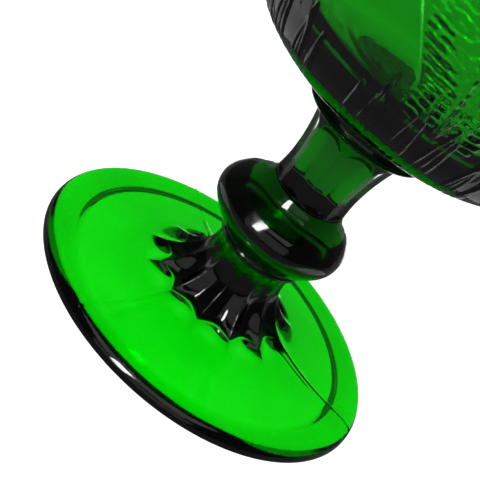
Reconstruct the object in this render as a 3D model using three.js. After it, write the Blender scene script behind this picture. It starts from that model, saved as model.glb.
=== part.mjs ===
// Footed candy dish of pressed green glass.
// Millimetres, +Z up. The foot rests on z = 0 and the axis is x = y = 0.
import * as THREE from "three";

// ---- Driving dimensions (mm) ----
const JOINT_GAP = 0.3; // between two pieces that are fused face to face

const FOOT_R = 47.5; // widest radius of the foot
const FOOT_RING_IN = 40.5; // the flat resting ring runs from here ...
const FOOT_RING_OUT = 46.4; // ... to here
const FOOT_STEP = 2.9; // width of the soft step from the ring up into the hollow
const FOOT_RECESS = 1.25; // depth of the hollow under the foot, just inside the ring
const FOOT_DOME = 6.6; // height of the hollow at the axis
const FOOT_EDGE_TOP_R = 43.7; // where the rounded edge meets the top of the foot
const FOOT_EDGE_TOP_Z = 3.85;
const FOOT_PAD_R = 18.8; // level pad that carries the stem
const FOOT_PAD_Z = 8.8;

const FLUTES = 12; // scooped flutes round the lower stem
const FLUTE_TIP_R = 18.0; // where the ridges run out on the foot
const FLUTE_TIP_THICK = 0.35;
const SCOOP_LOW = 2.6; // depth of a scoop at the foot ...
const SCOOP_HIGH = 0.35; // ... and at the knop
const SCOOP_FADE = 1.2; // how fast the depth falls from one to the other
const SCOOP_ROUND = 0.8; // below 1 the scoops are wide and the ridges narrow
const LOWER_WAIST_R = 10.4;
const LOWER_WAIST_Z = 21.5;

const KNOP_R = 18.4;
const KNOP_Z = 34.9; // height of the knop's widest line
const KNOP_FOOT_Z = 24.7; // underside of the knop
const KNOP_FOOT_R = 10.7;
const BEAD_R = 12.1; // small rounded ring under the knop
const KNOP_TOP_Z = 45.4;
const KNOP_TOP_R = 10.3;

const PANELS = 8; // hollowed panels round the upper stem
const UPPER_WAIST_R = 10.0;
const UPPER_WAIST_Z = 50.6;
const UPPER_TOP_R = 13.2;
const UPPER_TOP_Z = 67.2;
const PANEL_DEPTH = 0.75;
const PANEL_END_SHARE = 0.25; // share of that depth that is left at both ends

const COLLAR_R = 17.4; // thin-edged ring between stem and bowl
const COLLAR_EDGE_Z = 69.3;
const COLLAR_EDGE_THICK = 0.5;
const COLLAR_TOP_Z = 72.2;

const BOWL_SEAT_R = 16.2; // flat under the bowl that meets the collar
const BOWL_R = 63.4; // rim
const BOWL_TOP_Z = 138.0;
const BOWL_WALL = 3.2; // at the rim; the wall thickens downwards
const BOWL_RIM_ROUND = 1.4; // height of the rounding of the rim
const BOWL_FLOOR_Z = 82.5; // lowest point of the inside

const ROUND = 72; // facets round a plain turned piece
const FLUTE_FACETS = 8; // facets to one flute
const PANEL_FACETS = 6; // facets to one panel
const GLASS_GREEN = 0x0a7a12;

// ---- Helpers ----
// A smooth line through [r, z] points, cut into short straight runs.
function smooth(points, runs) {
  const curve = new THREE.SplineCurve(points.map(([r, z]) => new THREE.Vector2(r, z)));
  return curve.getPoints(runs).map((p) => [p.x, p.y]);
}

// Closed solid swept round +Z from a profile of [r, z] points. The profile starts and ends on the axis
// and runs with the material on its left. shape(angle, point index, r) may vary the radius round the piece.
function turned(profile, around, shape = (angle, index, r) => r) {
  const rings = profile.slice(1, -1);
  const place = [0, 0, profile[0][1]];
  rings.forEach(([r, z], index) => {
    for (let k = 0; k < around; k++) {
      const angle = (2 * Math.PI * k) / around;
      const radius = shape(angle, index, r);
      place.push(radius * Math.cos(angle), radius * Math.sin(angle), z);
    }
  });
  place.push(0, 0, profile[profile.length - 1][1]);
  const last = place.length / 3 - 1;
  const at = (ring, k) => 1 + ring * around + (k % around);
  const faces = [];
  for (let k = 0; k < around; k++) {
    faces.push(0, at(0, k + 1), at(0, k));
    for (let ring = 0; ring < rings.length - 1; ring++) {
      const [a, b, c, d] = [at(ring, k), at(ring, k + 1), at(ring + 1, k + 1), at(ring + 1, k)];
      faces.push(a, b, c, a, c, d);
    }
    faces.push(at(rings.length - 1, k), at(rings.length - 1, k + 1), last);
  }
  const geometry = new THREE.BufferGeometry();
  geometry.setAttribute("position", new THREE.Float32BufferAttribute(place, 3));
  geometry.setIndex(faces);
  geometry.computeVertexNormals();
  return geometry;
}

function glass(name, geometry) {
  const material = new THREE.MeshStandardMaterial({ color: GLASS_GREEN, roughness: 0.05, metalness: 0 });
  material.name = name;
  const mesh = new THREE.Mesh(geometry, material);
  mesh.name = name;
  return mesh;
}

// ---- Foot: a thin disc with a rounded edge, a raised pad for the stem and a shallow hollow beneath ----
function foot() {
  const under = [
    [0, FOOT_DOME],
    [8, 6.5],
    [12, 6.1],
    [16, 5.3],
    [20, 4.2],
    [24, 3.1],
    [28, 2.4],
    [33, 1.6],
    [FOOT_RING_IN - FOOT_STEP, FOOT_RECESS],
    [FOOT_RING_IN - FOOT_STEP / 2, 0.6 * FOOT_RECESS],
    [FOOT_RING_IN, 0],
    [FOOT_RING_OUT, 0],
  ];
  const edge = [
    [FOOT_R - 0.4, 0.2],
    [FOOT_R - 0.05, 0.6],
    [FOOT_R, 1.05],
    [FOOT_R - 0.15, 1.9],
    [FOOT_R - 0.65, 2.65],
    [FOOT_R - 1.5, 3.25],
    [FOOT_R - 2.6, 3.65],
    [FOOT_EDGE_TOP_R, FOOT_EDGE_TOP_Z],
  ];
  const top = [
    [38, 4.2],
    [32, 4.9],
    [27, 5.95],
    [23.2, 6.95],
    [FOOT_PAD_R, FOOT_PAD_Z],
    [0, FOOT_PAD_Z],
  ];
  return turned([...under, ...edge, ...top], ROUND);
}

// ---- Lower stem: scooped flutes that flare out on to the foot and run out under the knop ----
function flutedStem() {
  const base = FOOT_PAD_Z + JOINT_GAP;
  const top = KNOP_FOOT_Z - JOINT_GAP;
  const ridge = [
    [FLUTE_TIP_R, base],
    [FLUTE_TIP_R, base + FLUTE_TIP_THICK],
    ...smooth(
      [
        [17.1, 10.1],
        [15.7, 11.2],
        [13.7, 13.4],
        [11.7, 16.4],
        [LOWER_WAIST_R + 0.3, 19.2],
        [LOWER_WAIST_R, LOWER_WAIST_Z],
        [KNOP_FOOT_R - 0.3, top],
      ],
      9,
    ),
  ];
  // Depth of the scoop between two ridges, for each ring from the foot upwards.
  const reach = top - base;
  const depth = (z) => {
    const left = Math.max(0, 1 - (z - base) / reach);
    return SCOOP_HIGH + (SCOOP_LOW - SCOOP_HIGH) * Math.pow(left, SCOOP_FADE);
  };
  const shape = (angle, index, r) => {
    const scoop = Math.abs(Math.sin((FLUTES / 2) * angle));
    return r - depth(ridge[index][1]) * Math.pow(scoop, SCOOP_ROUND);
  };
  return turned([[0, base], ...ridge, [0, top]], FLUTES * FLUTE_FACETS, shape);
}

// ---- Knop: one flattened ball between the two stems ----
function stemKnop() {
  const line = smooth(
    [
      [BEAD_R - 0.1, 26.9],
      [14.3, 28.7],
      [16.5, 30.9],
      [18.0, 32.9],
      [KNOP_R, KNOP_Z],
      [17.9, 36.9],
      [16.2, 39.2],
      [13.6, 41.4],
      [11.6, 43.3],
      [KNOP_TOP_R, KNOP_TOP_Z],
    ],
    16,
  );
  const bead = [
    [KNOP_FOOT_R, KNOP_FOOT_Z],
    [BEAD_R - 0.5, 25.0],
    [BEAD_R, 25.8],
  ];
  return turned([[0, KNOP_FOOT_Z], ...bead, ...line, [0, KNOP_TOP_Z]], ROUND);
}

// ---- Upper stem: slightly hollowed flat panels between sharp edges ----
function panelledStem() {
  const base = KNOP_TOP_Z + JOINT_GAP;
  const line = smooth(
    [
      [KNOP_TOP_R - 0.1, base],
      [10.05, 47.8],
      [UPPER_WAIST_R, UPPER_WAIST_Z],
      [10.4, 55.5],
      [11.25, 60.4],
      [12.1, 63.8],
      [UPPER_TOP_R, UPPER_TOP_Z],
    ],
    9,
  );
  const shape = (angle, index, r) => {
    const fade = Math.min(1, index / 2, (line.length - 1 - index) / 2);
    const depth = PANEL_DEPTH * (PANEL_END_SHARE + (1 - PANEL_END_SHARE) * fade);
    return r - depth * Math.abs(Math.sin((PANELS / 2) * angle));
  };
  return turned([[0, base], ...line, [0, UPPER_TOP_Z]], PANELS * PANEL_FACETS, shape);
}

// ---- Collar: a thin sharp-edged disc, coned underneath ----
function bowlCollar() {
  const base = UPPER_TOP_Z + JOINT_GAP;
  return turned(
    [
      [0, base],
      [UPPER_TOP_R + 0.2, base],
      [15.2, 68.4],
      [COLLAR_R - 0.3, COLLAR_EDGE_Z - 0.3],
      [COLLAR_R, COLLAR_EDGE_Z],
      [COLLAR_R, COLLAR_EDGE_Z + COLLAR_EDGE_THICK],
      [16.5, 70.6],
      [BOWL_SEAT_R, COLLAR_TOP_Z],
      [0, COLLAR_TOP_Z],
    ],
    ROUND,
  );
}

// ---- Bowl: deep and round below, opening steadily to a plain rounded rim ----
function bowl() {
  const base = COLLAR_TOP_Z + JOINT_GAP;
  const outside = smooth(
    [
      [BOWL_SEAT_R, base],
      [20.0, 75.0],
      [25.0, 77.3],
      [30.0, 79.4],
      [35.0, 81.1],
      [39.0, 82.6],
      [42.4, 85.3],
      [44.9, 89.3],
      [47.3, 95.2],
      [50.2, 102.2],
      [52.9, 109.2],
      [56.5, 119.0],
      [60.3, 129.2],
      [BOWL_R, BOWL_TOP_Z - BOWL_RIM_ROUND],
    ],
    24,
  );
  const rim = [
    [BOWL_R - 0.5, BOWL_TOP_Z - 0.3 * BOWL_RIM_ROUND],
    [BOWL_R - BOWL_WALL / 2, BOWL_TOP_Z],
    [BOWL_R - BOWL_WALL + 0.5, BOWL_TOP_Z - 0.3 * BOWL_RIM_ROUND],
  ];
  const inside = smooth(
    [
      [BOWL_R - BOWL_WALL, BOWL_TOP_Z - BOWL_RIM_ROUND],
      [56.1, 128.0],
      [52.0, 117.0],
      [47.9, 106.0],
      [43.3, 97.5],
      [37.5, 92.6],
      [31.6, 89.0],
      [25.5, 86.2],
      [18.0, 83.9],
      [8.0, BOWL_FLOOR_Z + 0.3],
      [0, BOWL_FLOOR_Z],
    ],
    20,
  );
  return turned([[0, base], ...outside, ...rim, ...inside], ROUND);
}

const dish = new THREE.Group();
dish.name = "candy_dish";
dish.add(glass("foot", foot()));
dish.add(glass("fluted_stem", flutedStem()));
dish.add(glass("stem_knop", stemKnop()));
dish.add(glass("panelled_stem", panelledStem()));
dish.add(glass("bowl_collar", bowlCollar()));
dish.add(glass("bowl", bowl()));

export default dish;
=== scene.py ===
"""Footed candy dish of pressed dark green glass on a white table.

Shapes are in millimetres. The room, the lights and the camera are in metres.
"""

import math

import bpy
import numpy as np
from mathutils import Matrix, Vector


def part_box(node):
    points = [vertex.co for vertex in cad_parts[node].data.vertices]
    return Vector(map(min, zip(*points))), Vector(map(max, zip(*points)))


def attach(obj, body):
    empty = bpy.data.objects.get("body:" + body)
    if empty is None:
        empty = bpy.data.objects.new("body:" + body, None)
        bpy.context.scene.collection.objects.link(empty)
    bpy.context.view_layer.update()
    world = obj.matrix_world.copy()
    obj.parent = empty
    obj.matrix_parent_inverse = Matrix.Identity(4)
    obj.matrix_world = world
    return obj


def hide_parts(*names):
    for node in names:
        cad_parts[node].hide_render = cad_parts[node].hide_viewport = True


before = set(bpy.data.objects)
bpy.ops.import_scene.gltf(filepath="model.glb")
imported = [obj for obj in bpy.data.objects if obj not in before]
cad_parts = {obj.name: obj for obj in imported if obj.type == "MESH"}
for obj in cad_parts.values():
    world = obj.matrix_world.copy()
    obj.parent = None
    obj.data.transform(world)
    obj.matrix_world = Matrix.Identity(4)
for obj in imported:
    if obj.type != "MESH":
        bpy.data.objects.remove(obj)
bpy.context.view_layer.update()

MM = 0.001
HAIR = 0.01  # half of the hairline between two fused pieces
AROUND = 576  # points round a stem piece: a multiple of both the flutes and the panels
AROUND_BOWL = 864

FLUTES = 12
PANELS = 8


# ---- Places from the frame ----
def heights(node):
    """Lowest and highest point of a CAD node."""
    low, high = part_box(node)
    return low.z / MM, high.z / MM


def radius(node):
    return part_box(node)[1].x / MM


FOOT_R = radius("foot")
KNOP_LOW, KNOP_HIGH = heights("stem_knop")
KNOP_R = radius("stem_knop")
NECK_LOW, NECK_HIGH = heights("panelled_stem")
COLLAR_HIGH = heights("bowl_collar")[1]
COLLAR_R = radius("bowl_collar")
BOWL_HIGH = heights("bowl")[1]


# ---- Lines ----
def smooth(points, step):
    """A smooth line through [r, z] points as an array, with a point about every step."""
    p = np.array(points, float)
    p = np.vstack([2 * p[0] - p[1], p, 2 * p[-1] - p[-2]])
    out = []
    for a, b, c, d in zip(p[:-3], p[1:-2], p[2:-1], p[3:]):
        n = max(1, int(round(np.linalg.norm(c - b) / step)))
        t = (np.arange(n) / n)[:, None]
        bend = 2 * a - 5 * b + 4 * c - d
        twist = 3 * b - a - 3 * c + d
        out.append(0.5 * (2 * b + (c - a) * t + bend * t**2 + twist * t**3))
    return np.vstack(out + [p[-2:-1]])


def arc(centre, radii, start, end, points):
    """Points on part of an ellipse, from one angle to another in degrees."""
    t = np.radians(np.linspace(start, end, points))
    return np.stack([centre[0] + radii[0] * np.cos(t), centre[1] + radii[1] * np.sin(t)], 1)


def straight(start, end, t):
    """Points on the line from start to end, at the shares t of the way."""
    return np.hstack([start[i] + (end[i] - start[i]) * t for i in (0, 1)])


def lengths(line):
    """Distance along a line at each of its points."""
    return np.r_[0, np.cumsum(np.hypot(*np.diff(line, axis=0).T))]


def even(line, count):
    """The same line with count points at even distances."""
    s = lengths(line) / lengths(line)[-1]
    return np.stack([np.interp(np.linspace(0, 1, count), s, line[:, i]) for i in (0, 1)], 1)


def ridge(distance, width):
    """1 at distance zero, falling softly to 0."""
    return np.exp(-((distance / width) ** 2))


def step_up(x, low, high):
    """0 before low, 1 after high and a smooth step between; falls instead if low is above high."""
    t = np.clip((x - low) / (high - low), 0, 1)
    return t * t * (3 - 2 * t)


# ---- Meshes ----
def angles(around):
    """Angles round the piece, zero at the side that faces the viewer, in radians."""
    return 2 * np.pi * np.arange(around) / around


def turned(line, around):
    """Rings for a plain turned line of [r, z]."""
    ones = np.ones((1, around))
    return line[:, :1] * ones, line[:, 1:] * ones


def piece(name, r, z, around, fused=(True, True)):
    """Closed mesh from rings r[ring, point], z[ring, point], with a fan across each end.

    fused says which of the two fans are fused faces, which get the second material.
    """
    rings = len(r)
    angle = angles(around)[None, :] + np.zeros_like(r)
    grid = np.stack([r * np.sin(angle), -r * np.cos(angle), z], -1).reshape(-1, 3)
    middles = np.array([[0, 0, z[0].mean()], [0, 0, z[-1].mean()]])
    verts = np.vstack([grid, middles]) * MM
    k = np.arange(around)
    nxt = (k + 1) % around
    ring = np.arange(rings - 1)[:, None] * around
    quads = np.stack([ring + k, ring + nxt, ring + around + nxt, ring + around + k], -1).reshape(-1, 4)
    low_fan = np.stack([np.full(around, rings * around), nxt, k], -1)
    last = (rings - 1) * around
    high_fan = np.stack([np.full(around, rings * around + 1), last + k, last + nxt], -1)
    mesh = bpy.data.meshes.new(name)
    mesh.from_pydata(verts.tolist(), [], quads.tolist() + low_fan.tolist() + high_fan.tolist())
    index = np.zeros(len(mesh.polygons), np.int32)
    index[len(quads) : len(quads) + around] = fused[0]
    index[len(quads) + around :] = fused[1]
    mesh.polygons.foreach_set("use_smooth", np.ones(len(mesh.polygons), bool))
    mesh.polygons.foreach_set("material_index", index)
    mesh.update()
    obj = bpy.data.objects.new(name, mesh)
    bpy.context.scene.collection.objects.link(obj)
    return obj


# ---- Mould seams ----
# degrees round from the side that faces the viewer, + to the right, and how much each one shows
SEAMS = ((90.0, 1.0), (-30.0, 0.35), (-150.0, 0.6))
SEAM_HIGH = 0.28
SEAM_WIDE = 0.32
SEAM_FADE_R, SEAM_FADE_Z = (20, 23), (1.4, 2.4)  # they show on the foot outside and above these


def seam_lines(angle, r):
    """How strongly the mould seams show at each point, 1 on a full seam."""
    total = 0
    for seam, strength in SEAMS:
        away = np.angle(np.exp(1j * (angle - math.radians(seam))))
        total = total + strength * ridge(away * r, SEAM_WIDE)
    return total


# ---- Foot ----
RING_IN, RING_OUT = 40.6, 46.5  # flat resting ring
RING_CORNER = 0.9  # height of the rounding from the ring into the edge
RECESS = 1.25  # depth of the hollow beneath, just inside the ring
EDGE_TOP_R, EDGE_TOP_Z = 43.7, 3.85  # where the rounded edge meets the top
FLARE_R, FLARE_Z = 23.2, 7.0  # from here inwards the foot follows the flutes
FLARE_RINGS = 12
CREST_R, CREST_Z = 18.8, 8.9  # where a ridge starts on the foot
FLUTE_ROOT_R, FLUTE_ROOT_Z = 15.9, 9.1  # where a scoop reaches the foot
DIMPLE = 1.6  # how far the foot dips in front of a scoop


def mixed(ridge_line, scoop_line):
    """Rings that follow one line on the ridges between the flutes and the other in their middles."""
    w = np.abs(np.sin(angles(AROUND) * FLUTES / 2))[None, :]
    r = ridge_line[:, :1] * (1 - w) + scoop_line[:, :1] * w
    z = ridge_line[:, 1:] * (1 - w) + scoop_line[:, 1:] * w
    return r, z


def foot():
    under = smooth(
        [
            [0.5, 6.6],
            [8, 6.5],
            [12, 6.1],
            [16, 5.3],
            [20, 4.2],
            [24, 3.1],
            [28, 2.4],
            [33, 1.6],
            [37.3, RECESS],
        ],
        1.0,
    )
    step = smooth([[38.0, RECESS - 0.07], [38.9, 0.75], [39.8, 0.22], [RING_IN, 0.03]], 0.2)
    ring = smooth([[RING_IN + 0.6, 0], [43, 0], [RING_OUT, 0]], 0.8)
    corner = arc((RING_OUT, RING_CORNER), (FOOT_R - RING_OUT, RING_CORNER), -80, 0, 12)
    edge = smooth(
        [
            [FOOT_R, 1.05],
            [47.35, 1.9],
            [46.85, 2.65],
            [46.0, 3.25],
            [44.9, 3.65],
            [EDGE_TOP_R, EDGE_TOP_Z],
        ],
        0.12,
    )
    top = smooth(
        [
            [EDGE_TOP_R - 0.5, EDGE_TOP_Z + 0.08],
            [38, 4.2],
            [32, 4.9],
            [27, 5.95],
            [FLARE_R, FLARE_Z],
        ],
        0.6,
    )
    r, z = turned(np.vstack([under, step, ring, corner, edge, top]), AROUND)
    # the last rings swing in to meet the flutes
    t = np.linspace(0, 1, FLARE_RINGS + 1)[1:, None]
    tip = straight((FLARE_R, FLARE_Z), (CREST_R, CREST_Z), t)
    root = straight((FLARE_R, FLARE_Z), (FLUTE_ROOT_R, FLUTE_ROOT_Z), t)
    root[:, 1:] -= DIMPLE * np.sin(np.pi * t) * t
    flare_r, flare_z = mixed(tip, root)
    r = np.vstack([r, flare_r])
    z = np.vstack([z, flare_z])
    angle = angles(AROUND)[None, :] + np.zeros_like(r)
    z = z + SEAM_HIGH * seam_lines(angle, r) * step_up(z, *SEAM_FADE_Z) * step_up(r, *SEAM_FADE_R)
    z[-1] -= HAIR
    return piece("foot_glass", r, z, AROUND, fused=(False, True))


# ---- Lower stem ----
STEM_RINGS = 60


def fluted_stem():
    crest = smooth(
        [
            [CREST_R, CREST_Z],
            [17.3, 9.9],
            [15.7, 11.2],
            [13.7, 13.4],
            [11.7, 16.4],
            [10.7, 19.4],
            [10.5, 22.0],
            [10.8, KNOP_LOW],
        ],
        0.3,
    )
    scoop = smooth(
        [
            [FLUTE_ROOT_R, FLUTE_ROOT_Z],
            [14.1, 10.1],
            [12.4, 12.0],
            [11.1, 14.6],
            [10.25, 17.2],
            [9.95, 20.0],
            [9.9, 22.4],
            [10.5, KNOP_LOW],
        ],
        0.3,
    )
    r, z = mixed(even(crest, STEM_RINGS), even(scoop, STEM_RINGS))
    z[0] += HAIR
    z[-1] -= HAIR
    return piece("fluted_stem_glass", r, z, AROUND)


# ---- Knop ----
KNOP_SAG = -0.9  # how far the middle of the knop sits to one side
KNOP_HOLLOW = 0.16  # depth of the very shallow hollows round it


def stem_knop():
    bead = smooth([[10.5, KNOP_LOW], [11.5, 24.95], [12.15, 25.6], [12.1, 26.3], [11.85, 26.75]], 0.1)
    ball = smooth(
        [
            [12.1, 27.0],
            [14.3, 28.7],
            [16.5, 30.9],
            [18.0, 33.0],
            [KNOP_R, 34.9],
            [18.0, 36.9],
            [16.4, 39.1],
            [13.9, 41.2],
            [11.8, 43.2],
            [10.2, KNOP_HIGH],
        ],
        0.3,
    )
    r, z = turned(np.vstack([bead, ball]), AROUND)
    # eight very soft ridges, half a panel round from the edges of the stem above
    hollow = np.abs(np.cos(angles(AROUND) * PANELS / 2))[None, :]
    r = r - KNOP_HOLLOW * hollow * step_up(z, 26.5, 33)
    z[0] += HAIR
    z[-1] -= HAIR
    obj = piece("stem_knop_glass", r, z, AROUND)
    # hot glass sagged a little to the left before it set
    for vert in obj.data.vertices:
        share = (vert.co.z / MM - KNOP_LOW) / (KNOP_HIGH - KNOP_LOW)
        vert.co.x += KNOP_SAG * MM * math.sin(math.pi * share) ** 2
    return obj


# ---- Upper stem ----
ARRIS = 0.12  # how rounded the edges between two panels are
PANEL_HOLLOW = 1.15
ARCH_RISE = 0.13  # the arch over a panel is this share of the stem higher in the middle than at its sides
ARCH_FADE = (0.90, 0.985)  # where the hollow ends, as shares of the stem's height
PANEL_START = (-0.02, 0.06)  # where it starts


def panelled_stem():
    line = smooth(
        [
            [10.2, NECK_LOW],
            [10.05, 47.8],
            [10.0, 50.6],
            [10.25, 54.2],
            [10.65, 57.2],
            [11.25, 60.4],
            [12.1, 63.8],
            [13.2, NECK_HIGH],
        ],
        0.3,
    )
    r, z = turned(line, AROUND)
    t = (line[:, 1] - line[0, 1])[:, None] / (line[-1, 1] - line[0, 1])
    mid = np.sqrt(np.sin(angles(AROUND) * PANELS / 2) ** 2 + ARRIS**2)[None, :] - ARRIS
    # each panel starts at a small foot and ends in a round arch under the collar
    arch = step_up(t + ARCH_RISE * (1 - mid) ** 1.5, ARCH_FADE[1], ARCH_FADE[0])
    r = r - (PANEL_HOLLOW * mid) * arch * step_up(t, *PANEL_START)
    z[0] += HAIR
    z[-1] -= HAIR
    return piece("panelled_stem_glass", r, z, AROUND)


# ---- Collar ----
COLLAR_EDGE = 0.45  # radius of the thin edge
COLLAR_EDGE_Z = 69.5


def bowl_collar():
    under = smooth([[13.2, NECK_HIGH], [13.9, 67.8], [15.2, 68.3], [16.9, 68.9]], 0.25)
    edge = arc((COLLAR_R - COLLAR_EDGE, COLLAR_EDGE_Z), (COLLAR_EDGE, COLLAR_EDGE), -60, 75, 10)
    over = smooth([[COLLAR_R - 0.5, 69.98], [16.5, 70.5], [16.2, 71.4], [16.2, COLLAR_HIGH]], 0.2)
    r, z = turned(np.vstack([under, edge, over]), AROUND)
    z[0] += HAIR
    z[-1] -= HAIR
    return piece("bowl_collar_glass", r, z, AROUND)


# ---- Bowl ----
RIM_Z = 136.4  # where the rounding of the rim starts
RIM_OUT, RIM_IN = 63.0, 60.4
OUTSIDE = [
    [16.2, COLLAR_HIGH],
    [17.4, 73.5],
    [20.0, 75.0],
    [25.0, 77.3],
    [30.0, 79.4],
    [35.0, 81.1],
    [39.0, 82.6],
    [42.3, 85.3],
    [44.8, 89.3],
    [47.1, 95.2],
    [49.9, 102.2],
    [52.6, 109.2],
    [56.2, 119.0],
    [60.0, 129.2],
    [RIM_OUT, RIM_Z],
]
INSIDE = [
    [RIM_IN, RIM_Z],
    [56.1, 128.0],
    [52.0, 117.0],
    [47.9, 106.0],
    [43.3, 97.5],
    [37.5, 92.6],
    [31.6, 89.0],
    [25.5, 86.2],
    [21.8, 84.7],
    [18.8, 84.4],
    [16.0, 83.2],
    [12.5, 83.1],
    [8.0, 82.6],
    [0.5, 82.5],
]

# The pressed pattern. Distances up the wall run along the outside from the collar. A pair of them says where
# something fades in, or out if the larger one comes first.
MOTIFS = 6  # plain arched panels round the bowl, with a pair of fronds between each two
MOTIF_TURN = 13.5  # degrees from the viewer's side to the middle of the nearest pair of fronds
PATTERN_TOP = (5, 9)  # the pattern ends this far under the rim
FROND_HALF = 11.8  # half the width in degrees of the band that holds the fronds, low on the bowl
FROND_WIDENS = 0.6  # degrees that the band gains on each side with each millimetre above FROND_BEND
FROND_BEND = 53
PANEL_EDGE_HIGH, PANEL_EDGE_WIDE, PANEL_EDGE_FADE = 0.75, 0.7, (44, 54)
RIB_HIGH, RIB_WIDE, RIB_FADE = 0.7, 0.7, (40, 46)
LEAFLET_HIGH = 0.85
LEAFLET_PITCH = 2.45
LEAFLET_SLANT = 0.14
LEAFLET_LONG = (7.0, 9.5)  # leaflets die away this far in from the edge of the plain panel
LEAFLET_FADE = (40, 47)
LEAFLET_WORN = (60, 70)  # they are shallower above this
STIPPLE = 0.4  # depth of the stippled ground between the leaves
BLADES = ((4.6, 56, 3.6), (15.6, 48, 3.0), (21.5, 45, 2.0))  # middle in degrees, tip, half width in degrees
BLADE_FOOT = 16
BLADE_FADE = (24, 34)
BLADE_STRONG = (34, 46)


def blurred(shape, seed, times):
    """Random lumps that join up all round the piece, from -1 to 1; more times makes them wider."""
    lumps = np.random.RandomState(seed).normal(size=shape)
    for _ in range(times):
        for axis in (0, 1):
            lumps = (np.roll(lumps, 1, axis) + lumps + np.roll(lumps, -1, axis)) / 3
    return lumps / np.abs(lumps).max()


def blade(side, s, per_degree, middle, tip, half):
    """Height of one narrow pointed leaf with a raised edge and midrib, and where it stands."""
    along = np.clip((s - BLADE_FOOT) / (tip - BLADE_FOOT), 0, 1)
    width = half * (1 - along**2.2) * per_degree
    off = np.abs(side - middle - 1.2 * (along - 0.4)) * per_degree
    leaf = 0.1 + 0.7 * ridge(off - width + 0.45, 0.4) + 0.45 * ridge(off, 0.35)
    leaf = leaf * (0.7 + 0.3 * step_up(s, *BLADE_STRONG))
    shown = step_up(width - off, -0.1, 0.5) * (s < tip) * step_up(s, *BLADE_FADE)
    return leaf, shown


def relief(angle, s, r):
    """Height of the pressed pattern; s is the distance up the wall."""
    sector = 360 / MOTIFS
    side = np.abs((np.degrees(angle) - MOTIF_TURN + sector / 2) % sector - sector / 2)
    per_degree = math.pi / 180 * r
    # plain panels: flat pointed arches with a raised edge
    spread = np.minimum(FROND_HALF + FROND_WIDENS * np.clip(s - FROND_BEND, 0, None), sector / 2)
    inward = (spread - side) * per_degree
    band = step_up(inward, -0.3, 0.5)
    height = PANEL_EDGE_HIGH * ridge(inward - 0.5, PANEL_EDGE_WIDE) * step_up(s, *PANEL_EDGE_FADE)
    # fronds: a midrib that leans towards the panel, with leaflets on both sides of it
    rib = 0.6 + 0.08 * (s - 45) + 0.004 * np.clip(s - 45, 0, None) ** 2
    from_rib = (side - rib) * per_degree
    height = height + RIB_HIGH * ridge(from_rib, RIB_WIDE) * step_up(s, *RIB_FADE) * band
    wave = 0.5 + 0.5 * np.cos(2 * np.pi * (s + LEAFLET_SLANT * inward) / LEAFLET_PITCH)
    wear = 0.35 + 0.65 * np.clip(0.5 + 4 * blurred(height.shape, 5, 9), 0, 1)
    leaflet = wear * wave**1.5 * step_up(np.abs(from_rib), 0.6, 1.6) * step_up(inward, 0.6, 1.8)
    fading = (1 - 0.85 * step_up(inward, *LEAFLET_LONG)) * (1 - 0.55 * step_up(s, *LEAFLET_WORN))
    height = height + leaflet * LEAFLET_HIGH * fading * step_up(s, *LEAFLET_FADE) * band
    ground = band * step_up(inward, 0.8, 1.6) * step_up(s, *LEAFLET_FADE) * (1 - 0.7 * leaflet)
    # blades: narrow pointed leaves that stand round the foot of the bowl
    for middle, tip, half in BLADES:
        leaf, shown = blade(side, s, per_degree, middle, tip, half)
        height = height * (1 - shown) + leaf * shown
        ground = ground * (1 - shown)
    return height + STIPPLE * ground * blurred(height.shape, 7, 2)


def bowl():
    outside = smooth(OUTSIDE, 0.42)
    rim = arc(((RIM_OUT + RIM_IN) / 2, RIM_Z), ((RIM_OUT - RIM_IN) / 2, BOWL_HIGH - RIM_Z), 8, 172, 14)
    inside = smooth(INSIDE, 1.5)
    r, z = turned(np.vstack([outside, rim, inside]), AROUND_BOWL)
    n = len(outside)
    s = lengths(outside)
    slope = np.gradient(outside, axis=0)
    slope /= np.linalg.norm(slope, axis=1)[:, None]
    angle = angles(AROUND_BOWL)[None, :] + np.zeros((n, 1))
    height = relief(angle, s[:, None] + np.zeros_like(angle), outside[:, :1] + np.zeros_like(angle))
    height = height * step_up(s[-1] - s, *PATTERN_TOP)[:, None]
    r[:n] += slope[:, 1:] * height
    z[:n] -= slope[:, :1] * height
    z[0] += HAIR
    return piece("bowl_glass", r, z, AROUND_BOWL, fused=(True, False))


# ---- Materials ----
ABSORB = 1650.0  # absorption per metre of glass
ABSORB_COLOUR = (0.0, 0.92, 0.06, 1.0)  # the share of each colour that it spares
GLASS_IOR = 1.5
NOISE_SPAN = (0.35, 0.65)  # where the values of a noise texture mostly lie
CORD_TINTS = ((0.78, 0.9, 0.78, 1), (1.0, 1.0, 1.0, 1))
# sizes and depths of the marks in the glass
CORD_SIZE = 18
POLISH_SIZE = 6
PIT_SIZE = 0.9
PIT_DEPTH = 0.006


def absorbing(nodes, links):
    """Adds the plain absorption that both glass materials share, and returns the output node."""
    out = nodes.new("ShaderNodeOutputMaterial")
    volume = nodes.new("ShaderNodeVolumeAbsorption")
    volume.inputs["Color"].default_value = ABSORB_COLOUR
    volume.inputs["Density"].default_value = ABSORB
    links.new(volume.outputs[0], out.inputs["Volume"])
    return out


def noise(nodes, links, size, detail, seed):
    """Noise whose lumps are about size across."""
    coords = nodes.new("ShaderNodeTexCoord")
    texture = nodes.new("ShaderNodeTexNoise")
    texture.noise_dimensions = "4D"
    texture.inputs["W"].default_value = seed
    texture.inputs["Scale"].default_value = 1 / (size * MM)
    texture.inputs["Detail"].default_value = detail
    links.new(coords.outputs["Object"], texture.inputs["Vector"])
    return texture.outputs["Fac"]


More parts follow.
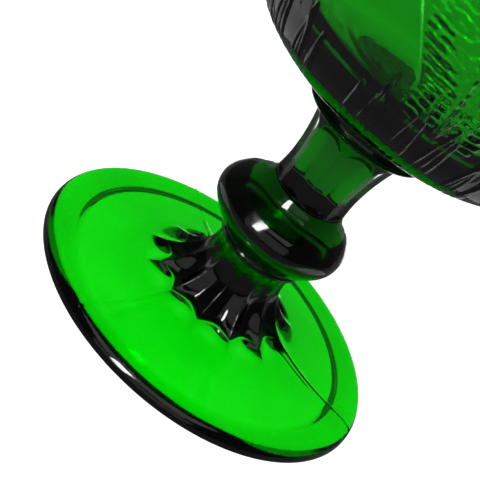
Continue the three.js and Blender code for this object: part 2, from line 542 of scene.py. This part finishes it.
def mapped(nodes, links, value, low, high):
    """Noise stretched to run from low to high."""
    spread = nodes.new("ShaderNodeMapRange")
    spread.inputs["From Min"].default_value = NOISE_SPAN[0]
    spread.inputs["From Max"].default_value = NOISE_SPAN[1]
    spread.inputs["To Min"].default_value = low
    spread.inputs["To Max"].default_value = high
    links.new(value, spread.inputs["Value"])
    return spread.outputs["Result"]


def bumped(nodes, links, height, depth, below=None):
    """A bump of the given depth, on top of another bump's normal."""
    bump = nodes.new("ShaderNodeBump")
    bump.inputs["Strength"].default_value = 1.0
    bump.inputs["Distance"].default_value = depth * MM
    links.new(height, bump.inputs["Height"])
    if below is not None:
        links.new(below, bump.inputs["Normal"])
    return bump.outputs["Normal"]


def fire_polished_glass(name, ripple, dullest, seed):
    """Pressed glass.

    It has a slow ripple from the mould, faint pits, patches that the fire polished less, and cords of
    slightly paler glass. ripple is the size and the depth of the ripple.
    """
    mat = bpy.data.materials.new(name)
    mat.use_nodes = True
    nodes, links = mat.node_tree.nodes, mat.node_tree.links
    nodes.clear()
    out = absorbing(nodes, links)
    glass = nodes.new("ShaderNodeBsdfPrincipled")
    glass.inputs["IOR"].default_value = GLASS_IOR
    glass.inputs["Transmission Weight"].default_value = 1.0
    cords = nodes.new("ShaderNodeMix")
    cords.data_type = "RGBA"
    cords.inputs["A"].default_value, cords.inputs["B"].default_value = CORD_TINTS
    links.new(mapped(nodes, links, noise(nodes, links, CORD_SIZE, 1, seed), 0, 1), cords.inputs["Factor"])
    links.new(cords.outputs["Result"], glass.inputs["Base Color"])
    polish = mapped(nodes, links, noise(nodes, links, POLISH_SIZE, 3, seed + 1), 0.0, dullest)
    links.new(polish, glass.inputs["Roughness"])
    waves = bumped(nodes, links, noise(nodes, links, ripple[0], 0, seed + 2), ripple[1])
    pits = bumped(nodes, links, noise(nodes, links, PIT_SIZE, 2, seed + 3), PIT_DEPTH, waves)
    links.new(pits, glass.inputs["Normal"])
    links.new(glass.outputs[0], out.inputs["Surface"])
    return mat


def fused_face(name):
    """The hidden face where two pieces of glass are one: light goes straight through."""
    mat = bpy.data.materials.new(name)
    mat.use_nodes = True
    nodes, links = mat.node_tree.nodes, mat.node_tree.links
    nodes.clear()
    out = absorbing(nodes, links)
    clear = nodes.new("ShaderNodeBsdfTransparent")
    links.new(clear.outputs[0], out.inputs["Surface"])
    return mat


def dressed(obj, node, ripple, dullest, seed):
    """Gives a piece its two materials, and puts it in the place of a CAD node."""
    obj.data.materials.append(fire_polished_glass(obj.name, ripple, dullest, seed))
    obj.data.materials.append(fused_face(obj.name + "_fused_face"))
    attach(obj, "root")
    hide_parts(node)


# ---- Room ----
# Each pair is what is seen, and what the glass mirrors.
TABLE_GLOW, TABLE_MIRRORED = 1.15, 0.12
TABLE_PALE, TABLE_DIM = 0.5, 0.04
ROOM_GLOW, ROOM_MIRRORED = 0.35, 0.05
TABLE_SIZE = 6.0
TABLE_Z = -0.0002
MID_DISH = (0, 0, 0.05)  # where the softboxes aim
CARD_SIZE = (0.14, 0.07)
CARD_Z = 0.001


def by_ray(nodes, links, seen, mirrored):
    """seen, except in what the glass mirrors, where the studio round the table is dim."""
    path = nodes.new("ShaderNodeLightPath")
    mix = nodes.new("ShaderNodeMapRange")
    mix.inputs["To Min"].default_value = seen
    mix.inputs["To Max"].default_value = mirrored
    links.new(path.outputs["Is Reflection Ray"], mix.inputs["Value"])
    return mix.outputs["Result"]


def table_top():
    bpy.ops.mesh.primitive_plane_add(size=TABLE_SIZE, location=(0, 0, TABLE_Z))
    floor = bpy.context.object
    floor.name = "table_top"
    mat = bpy.data.materials.new("white_table")
    mat.use_nodes = True
    nodes, links = mat.node_tree.nodes, mat.node_tree.links
    shader = nodes["Principled BSDF"]
    links.new(by_ray(nodes, links, TABLE_PALE, TABLE_DIM), shader.inputs["Base Color"])
    shader.inputs["Roughness"].default_value = 0.9
    shader.inputs["Specular IOR Level"].default_value = 0.0
    shader.inputs["Emission Color"].default_value = (1, 1, 1, 1)
    links.new(by_ray(nodes, links, TABLE_GLOW, TABLE_MIRRORED), shader.inputs["Emission Strength"])
    floor.data.materials.append(mat)


def softbox(name, place, aim, size, watts):
    light = bpy.data.lights.new(name, "AREA")
    light.shape = "RECTANGLE"
    light.size, light.size_y = size
    light.energy = watts
    obj = bpy.data.objects.new(name, light)
    obj.location = place
    obj.rotation_euler = (Vector(aim) - Vector(place)).to_track_quat("-Z", "Y").to_euler()
    bpy.context.scene.collection.objects.link(obj)
    return obj


def card(name, x, y, watts):
    """A faint card that lies on the table facing up, and shows only in what the glass mirrors."""
    light = softbox(name, (x, y, CARD_Z), (x, y, 1), CARD_SIZE, watts)
    light.visible_camera = False
    light.visible_transmission = False


def room():
    world = bpy.data.worlds.new("studio")
    bpy.context.scene.world = world
    world.use_nodes = True
    nodes, links = world.node_tree.nodes, world.node_tree.links
    nodes["Background"].inputs["Color"].default_value = (1, 1, 1, 1)
    links.new(by_ray(nodes, links, ROOM_GLOW, ROOM_MIRRORED), nodes["Background"].inputs["Strength"])
    softbox("key", (-0.25, -0.75, 0.9), MID_DISH, (0.2, 0.85), 13.0)
    softbox("front_fill", (0, -1.1, 0.55), MID_DISH, (1.6, 0.9), 1.8)
    card("left_card", -0.14, 0, 0.02)
    card("right_card", 0.14, 0, 0.02)
    card("back_card", 0, 0.13, 0.06)
    softbox("overhead", (0, -0.25, 1.0), MID_DISH, (1.0, 0.9), 2.2)


# ---- Camera ----
CAMERA_PLACE = (0.0, -0.4348, 0.2632)
CAMERA_TARGET = (-0.00501, 0.0, 0.02258)
CAMERA_ROLL = 41.25  # degrees that the camera is turned about its line of sight
CAMERA_LENS = 151.7


def camera():
    data = bpy.data.cameras.new("camera")
    data.lens = CAMERA_LENS
    data.sensor_width = 36.0
    data.clip_start = 0.01
    obj = bpy.data.objects.new("camera", data)
    look = (Vector(CAMERA_TARGET) - Vector(CAMERA_PLACE)).to_track_quat("-Z", "Y").to_matrix().to_4x4()
    turn = Matrix.Rotation(math.radians(CAMERA_ROLL), 4, "Z")
    obj.matrix_world = Matrix.Translation(CAMERA_PLACE) @ look @ turn
    bpy.context.scene.collection.objects.link(obj)
    bpy.context.scene.camera = obj


dressed(foot(), "foot", ripple=(14, 0.17), dullest=0.05, seed=1)
dressed(fluted_stem(), "fluted_stem", ripple=(8, 0.04), dullest=0.08, seed=11)
dressed(stem_knop(), "stem_knop", ripple=(9, 0.05), dullest=0.16, seed=21)
dressed(panelled_stem(), "panelled_stem", ripple=(7, 0.04), dullest=0.05, seed=31)
dressed(bowl_collar(), "bowl_collar", ripple=(7, 0.03), dullest=0.05, seed=41)
dressed(bowl(), "bowl", ripple=(12, 0.08), dullest=0.05, seed=51)
table_top()
room()
camera()

# light crosses many faces on its way through the glass
bpy.context.scene.cycles.max_bounces = 24
bpy.context.scene.cycles.transmission_bounces = 24
bpy.context.scene.cycles.transparent_max_bounces = 32
bpy.context.scene.view_settings.view_transform = "Standard"
